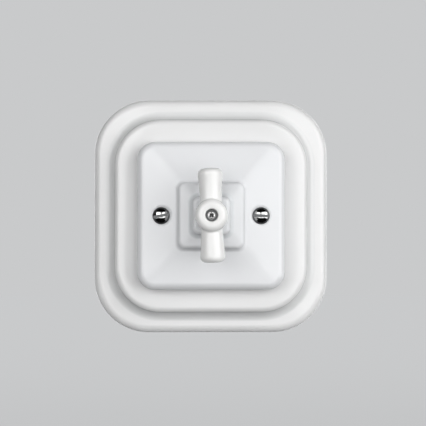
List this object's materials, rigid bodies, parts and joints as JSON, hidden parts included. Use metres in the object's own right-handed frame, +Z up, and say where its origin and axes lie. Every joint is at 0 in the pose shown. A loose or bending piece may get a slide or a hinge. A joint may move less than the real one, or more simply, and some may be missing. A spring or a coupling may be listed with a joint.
{
  "type": "porcelain rotary switch",
  "caption": "Flush wall light switch of glazed porcelain: stepped square frame and cover, and a rotary knob with round arms that turns a contact drum behind the wall.",
  "frame": {"origin": "centre of the wall-box screw pattern, on the wall plane, on the knob's axis", "axes": "+Z up the wall, -Y out of the wall towards the user, +X to the user's right"},
  "size_m": [0.1, 0.0667, 0.1],
  "materials": {
    "frame_porcelain": "gloss",
    "cover_porcelain": "gloss",
    "knob_porcelain": "gloss",
    "polished_nickel": "polished",
    "zinc_plated_steel": "satin",
    "turned_steel": "satin",
    "spring_steel": "satin",
    "brass": "satin",
    "phosphor_bronze": "satin",
    "phenolic": "matte",
    "steatite": "matte",
    "vulcanised_fibre": "matte"
  },
  "bodies": {
    "housing": {"outer_frame": "frame_porcelain", "cover_plate": "cover_porcelain", "cover_screws": "polished_nickel", "mounting_yoke": "zinc_plated_steel", "assembly_screws": "zinc_plated_steel", "mechanism_cap": "phenolic", "bearing_bush": "brass", "mechanism_base": "steatite", "upper_terminal": "brass", "lower_terminal": "brass", "terminal_screws": "zinc_plated_steel", "upper_contact_spring": "phosphor_bronze", "lower_contact_spring": "phosphor_bronze", "left_detent_spring": "spring_steel", "right_detent_spring": "spring_steel"},
    "turning_set": {"knob": "knob_porcelain", "knob_screw": "polished_nickel", "spindle": "turned_steel", "thrust_washer": "vulcanised_fibre", "rotor": "phenolic", "contact_bridge": "brass"}
  },
  "joints": [
    {"name": "knob_turn", "type": "hinge", "parent": "housing", "child": "turning_set", "pos_m": [0, -0.0328, 0], "axis": [0, 1, 0], "continuous": true, "deforming": ["left_detent_spring", "right_detent_spring"]}
  ]
}
